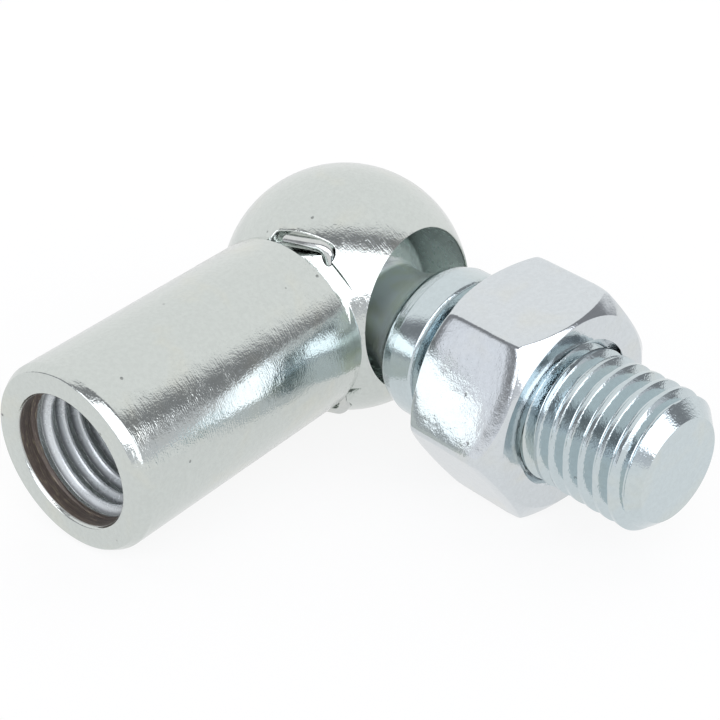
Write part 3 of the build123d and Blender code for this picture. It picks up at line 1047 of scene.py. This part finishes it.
class BALLJOINT_OT_nut(bpy.types.Operator):
    """Build the hex nut: chamfered hexagon with a countersunk, threaded hole"""

    bl_idname = "balljoint.nut"
    bl_label = "Build Hex Nut"

    def execute(self, context):
        size = settings(context, "joint_nut")
        stud = settings(context, "joint_stud")
        screw = settings(context, "joint_thread")
        look = settings(context, "joint_finishes")
        zinc = plating("nut", look.nut_zinc, look.straw, BALL_CENTRE, STUD_AXIS)
        per_flat = 24
        sides = 6 * per_flat
        low = stud.seat_at + size.to_seat
        high = low + size.height
        columns = self.columns(size, low, high, per_flat)
        mouth = [size.turn + a for a in round_steps(sides)]
        rings = [[column[i] for column in columns] for i in range(len(columns[0]))]
        rings = [circle(size.mouth_radius, high, mouth), *rings, circle(size.mouth_radius, low, mouth)]
        body = bmesh.new()
        skin(body, rings)
        # The nut's thread stands a little off the stem's.
        crest, root = screw.minor_radius + 0.05, screw.major_radius + 0.15
        female = dict(
            sides=sides,
            pitch=screw.pitch,
            crest_radius=crest,
            root_radius=root,
            crest_flat=0.22,
            flank_width=(root - crest) * FLANK,
            side=-1,
            start_radius=size.mouth_radius,
            end_radius=size.mouth_radius,
            stations=16,
        )
        first_crest = screw.crest_at + screw.pitch * (0.5 + size.turn / (2 * math.pi))
        hole = thread(zinc, first_crest, low, high, **female)
        bmesh.ops.rotate(hole, verts=hole.verts, cent=(0, 0, 0), matrix=Matrix.Rotation(size.turn, 3, "Z"))
        join(body, hole)
        piece = to_object("nut_body", body, along_stud(), NUT_SHARP)
        finish(piece, zinc, "hex_nut", "nut")
        return {"FINISHED"}

    def columns(self, size, low, high, per_flat):
        """The nut's outside as columns of points from the front face to the rear face, all round it."""
        sixth, crowding = math.radians(60), 2.2  # columns crowd towards the long edges
        apothem = size.across_flats / 2
        reach = (apothem - size.corner_round) / math.cos(sixth / 2)

        def flat_radius(off):
            """Distance of the side from the axis, at an angle away from a long edge."""
            slip = size.corner_round**2 - (reach * math.sin(off)) ** 2
            along = reach * math.cos(off) + math.sqrt(slip) if slip > 0 else 0.0
            on_round = slip > 0 and along * math.sin(off) < size.corner_round / 2
            return along if on_round else apothem / math.cos(sixth / 2 - off)

        # How the flats roll over towards the faces: how far in, and how far past the chamfer's edge.
        front_roll = ((0.18, 0.0), (0.10, 0.5), (0.03, 1.2), (0.0, 1.8))
        rear_roll = ((0.0, 1.7), (0.008, 1.1), (0.035, 0.55), (0.1, 0.0))
        face, land, face_round = size.face_radius, 1.2, 0.25
        edges = [size.edge_round, 0, 0, 0]
        roundings = [0, face_round, *edges, *reversed(edges), face_round, 0]
        columns = []
        for k in range(6 * per_flat):
            step = (k % per_flat) / per_flat
            off = math.radians(30) * (min(step, 1 - step) * 2) ** crowding
            turn = sixth * (k // per_flat) + (off if step <= 0.5 else sixth - off)
            side = flat_radius(off)
            out = (side - face) / (reach - face)
            drop = (side - face) * math.tan(size.chamfer) * (1 + size.corner_drop * out**2)
            profile = [(face - land, high), (face, high)]
            profile += [(side - inset, high - (drop + past)) for inset, past in front_roll]
            profile += [(side - inset, low + (drop + past)) for inset, past in rear_roll]
            profile += [(face, low), (face - land, low)]
            angle = size.turn + turn
            points = rounded(profile, roundings, 5)
            columns.append([(r * math.cos(angle), r * math.sin(angle), z) for r, z in points])
        return columns


# ---------------------------------------------------------------- stage


def rest_plane():
    """A point and the normal of the plane that the joint lies on: its hull's facet below its middle."""
    hull = bmesh.new()
    for node in frame["nodes"].values():
        hull.from_mesh(node.data)
    bmesh.ops.convex_hull(hull, input=hull.verts)
    low, high = CAD_BOX
    middle = (Vector(low) + Vector(high)) / 2
    spot, normal, _, _ = BVHTree.FromBMesh(hull).ray_cast(middle, Vector((0, 0, -1)))
    hull.free()
    if normal.z < 0:
        normal = -normal
    return spot, normal


class BALLJOINT_OT_stage(bpy.types.Operator):
    """Build the floor, the light tent and the camera"""

    bl_idname = "balljoint.stage"
    bl_label = "Build Stage"

    def execute(self, context):
        stage = settings(context, "joint_stage")
        scene = context.scene
        scene.view_settings.view_transform = "Standard"
        self.floor(scene, stage)
        self.tent(scene, stage)
        self.camera(scene, stage)
        return {"FINISHED"}

    def floor(self, scene, stage):
        """White card under the joint: lit like paper, lifted to plain white for the eye and for gloss."""
        spot, normal = rest_plane()
        below = 0.05 * MM  # the card lies this far under the joint
        paper_white = 0.92
        turn = Vector((0, 0, 1)).rotation_difference(normal).to_matrix().to_4x4()
        half = stage.floor_size / 2
        card = bpy.data.meshes.new("floor")
        corners = [(-half, -half, 0), (half, -half, 0), (half, half, 0), (-half, half, 0)]
        card.from_pydata(corners, [], [(0, 1, 2, 3)])
        card.transform(Matrix.Translation(spot - normal * below) @ turn)
        piece = bpy.data.objects.new("floor", card)
        scene.collection.objects.link(piece)
        material = bpy.data.materials.new("white_card")
        material.use_nodes = True
        tree = material.node_tree
        tree.nodes.clear()
        w = Wiring(tree)
        paper = w.add("ShaderNodeBsdfDiffuse")
        paper.inputs["Color"].default_value = (paper_white, paper_white, paper_white, 1)
        glow = w.add("ShaderNodeEmission")
        rays = w.add("ShaderNodeLightPath").outputs
        w.feed(glow.inputs["Strength"], w.fit(rays["Is Glossy Ray"], 0.0, 1.0, 1.0, stage.floor_shine, smooth=False))
        seen = w.highest(rays["Is Camera Ray"], rays["Is Glossy Ray"])
        seen = w.highest(seen, rays["Is Transmission Ray"])
        mix = w.add("ShaderNodeMixShader")
        for socket, value in zip(mix.inputs, (w.times(seen, stage.floor_glow), paper.outputs[0], glow.outputs[0])):
            w.feed(socket, value)
        w.feed(w.add("ShaderNodeOutputMaterial").inputs["Surface"], mix.outputs[0])
        card.materials.append(material)

    def tent(self, scene, stage):
        """A light tent with a dark-rimmed opening at the camera's side and bright light beyond it."""
        world = bpy.data.worlds.new("light_tent")
        scene.world = world
        world.use_nodes = True
        tree = world.node_tree
        tree.nodes.clear()
        w = Wiring(tree)
        rise, turn = stage.tent_rise, stage.tent_turn
        back = (math.cos(rise) * math.cos(turn), math.cos(rise) * math.sin(turn), math.sin(rise))
        where = w.add("ShaderNodeTexCoord").outputs["Generated"]
        facing = w.vector("DOT_PRODUCT", where, back)
        split = w.add("ShaderNodeSeparateXYZ")
        w.feed(split.inputs[0], where)
        x, y, z = split.outputs

        # Soft edges, each a pair of values that a direction's part passes through.
        wall_edge, opening_edge = (0.28, 0.44), (0.12, -0.03)
        window_bottom, window_side, dip_left, dip_right = (0.16, 0.34), (0.42, 0.25), (-0.45, -0.25), (0.45, 0.2)
        card_side, room_top, room_turn = (0.46, 0.58), (0.26, 0.12), (-0.2, 0.5)

        # The window reaches down to the horizon in the middle of its width.
        dip_depth = 0.3
        dip = w.times(w.fit(x, *dip_left), w.fit(x, *dip_right))
        window = w.times(w.fit(w.times_plus(dip, dip_depth, z), *window_bottom), w.fit(y, *window_side))
        room = w.fit(y, *room_turn, stage.low_light, stage.side_light)
        beyond = w.fit(window, 0.0, 1.0, room, stage.window_light, smooth=False)
        lit = w.highest(window, w.highest(w.fit(y, *card_side), w.fit(z, *room_top)))
        beyond = w.times(w.fit(facing, *opening_edge), w.times(w.minus(beyond, stage.gap_light), lit))
        wall = w.fit(facing, *wall_edge, 0.0, stage.tent_light - stage.gap_light)
        light = w.plus(w.plus(wall, beyond), stage.gap_light)

        # The eye sees plain white behind the joint.
        glow = w.add("ShaderNodeBackground")
        w.feed(glow.inputs["Strength"], light)
        cool, white = (0.97, 0.98, 1.03), (1.0, 1.0, 1.0)
        w.feed(glow.inputs["Color"], w.blend(w.fit(facing, *wall_edge), cool, white))
        plain = w.add("ShaderNodeBackground")
        plain.inputs["Color"].default_value = (1, 1, 1, 1)
        mix = w.add("ShaderNodeMixShader")
        eye = w.add("ShaderNodeLightPath").outputs["Is Camera Ray"]
        for socket, value in zip(mix.inputs, (eye, glow.outputs[0], plain.outputs[0])):
            w.feed(socket, value)
        w.feed(w.add("ShaderNodeOutputWorld").inputs["Surface"], mix.outputs[0])

    def camera(self, scene, stage):
        """The camera, at the place and in the directions that the constants give."""
        lens = bpy.data.cameras.new("camera")
        lens.sensor_width = SENSOR_WIDTH
        lens.lens = stage.lens
        camera = bpy.data.objects.new("camera", lens)
        scene.collection.objects.link(camera)
        turn = Matrix((CAMERA_RIGHT, CAMERA_UP, -CAMERA_AHEAD)).transposed().to_4x4()
        camera.matrix_world = Matrix.Translation(CAMERA_AT * MM) @ turn
        scene.camera = camera


class BALLJOINT_PT_panel(bpy.types.Panel):
    """Sidebar panel with every piece's builder and settings"""

    bl_label = "Ball Joint"
    bl_idname = "BALLJOINT_PT_panel"
    bl_space_type = "VIEW_3D"
    bl_region_type = "UI"
    bl_category = "Ball Joint"

    def draw(self, context):
        for operator in OPERATORS:
            self.layout.operator(operator.bl_idname)
        for group in GROUPS:
            values = getattr(context.scene, group)
            box = self.layout.box()
            for key in values.__annotations__:
                box.prop(values, key)


OPERATORS = (BALLJOINT_OT_socket, BALLJOINT_OT_clip, BALLJOINT_OT_stud, BALLJOINT_OT_nut, BALLJOINT_OT_stage)
CLASSES = (*GROUPS.values(), *OPERATORS, BALLJOINT_PT_panel)


def register():
    for each in CLASSES:
        bpy.utils.register_class(each)
    for name, group in GROUPS.items():
        setattr(bpy.types.Scene, name, PointerProperty(type=group))


def unregister():
    for name in GROUPS:
        delattr(bpy.types.Scene, name)
    for each in reversed(CLASSES):
        bpy.utils.unregister_class(each)


def main():
    register()
    bpy.ops.balljoint.socket()
    bpy.ops.balljoint.clip()
    bpy.ops.balljoint.stud()
    bpy.ops.balljoint.nut()
    bpy.ops.balljoint.stage()


if __name__ == "__main__":
    main()
